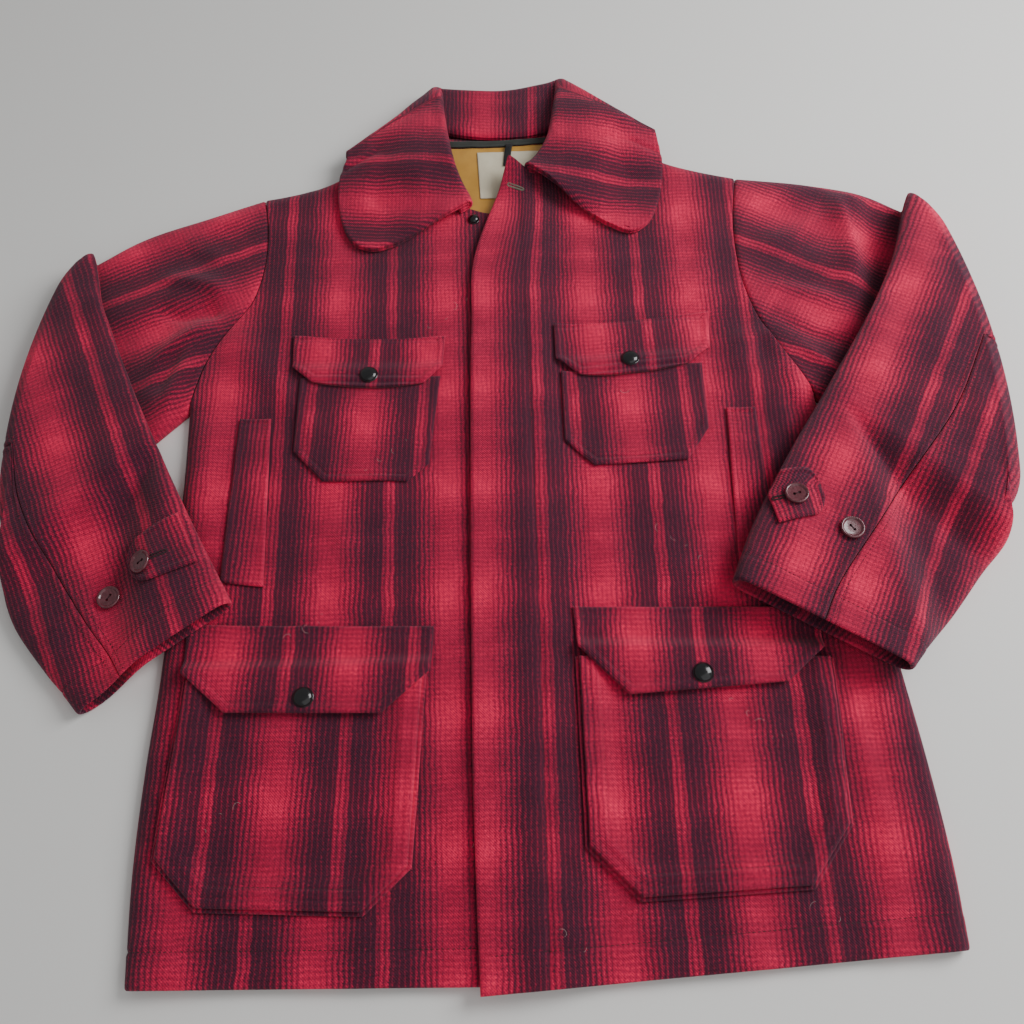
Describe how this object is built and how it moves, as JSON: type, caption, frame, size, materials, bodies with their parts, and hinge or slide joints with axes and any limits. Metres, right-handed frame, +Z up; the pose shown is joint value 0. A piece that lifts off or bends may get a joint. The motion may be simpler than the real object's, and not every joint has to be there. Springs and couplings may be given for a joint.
{
  "type": "mackinaw jacket, laid flat",
  "caption": "Red and navy-black ombre plaid wool mackinaw jacket lying flat on its back, front up, with the sleeves folded back over the body.",
  "frame": {"origin": "centre of the bounding box at its lowest point, on the floor", "axes": "+X towards the jacket's left sleeve, +Y towards the collar, +Z up from the floor"},
  "size_m": [0.8914, 0.8834, 0.0429],
  "materials": {
    "plaid_wool": "brushed wool",
    "satin_lining": "satin",
    "label_cloth": "matte",
    "dark_binding": "matte",
    "black_tape": "matte",
    "black_snap": "gloss",
    "brown_button": "gloss"
  },
  "bodies": {
    "root": {"back_panel": "plaid_wool", "front_right": "plaid_wool", "front_left": "plaid_wool", "fly_left": "plaid_wool", "upper_sleeve_right": "plaid_wool", "under_sleeve_right": "plaid_wool", "upper_sleeve_left": "plaid_wool", "under_sleeve_left": "plaid_wool", "collar_upper": "plaid_wool", "collar_under": "plaid_wool", "chest_pocket_right": "plaid_wool", "chest_flap_right": "plaid_wool", "hip_pocket_right": "plaid_wool", "hip_gusset_right": "plaid_wool", "hip_flap_right": "plaid_wool", "hand_welt_right": "plaid_wool", "cuff_tab_right": "plaid_wool", "chest_pocket_left": "plaid_wool", "chest_flap_left": "plaid_wool", "hip_pocket_left": "plaid_wool", "hip_gusset_left": "plaid_wool", "hip_flap_left": "plaid_wool", "hand_welt_left": "plaid_wool", "cuff_tab_left": "plaid_wool", "back_neck_lining": "satin_lining", "label_blank": "label_cloth", "neck_binding": "dark_binding", "hanger_loop": "black_tape", "chest_snap_right": "black_snap", "hip_snap_right": "black_snap", "cuff_button_right_1": "brown_button", "cuff_button_right_2": "brown_button", "chest_snap_left": "black_snap", "hip_snap_left": "black_snap", "cuff_button_left_1": "brown_button", "cuff_button_left_2": "brown_button", "neck_snap": "black_snap"}
  },
  "joints": []
}
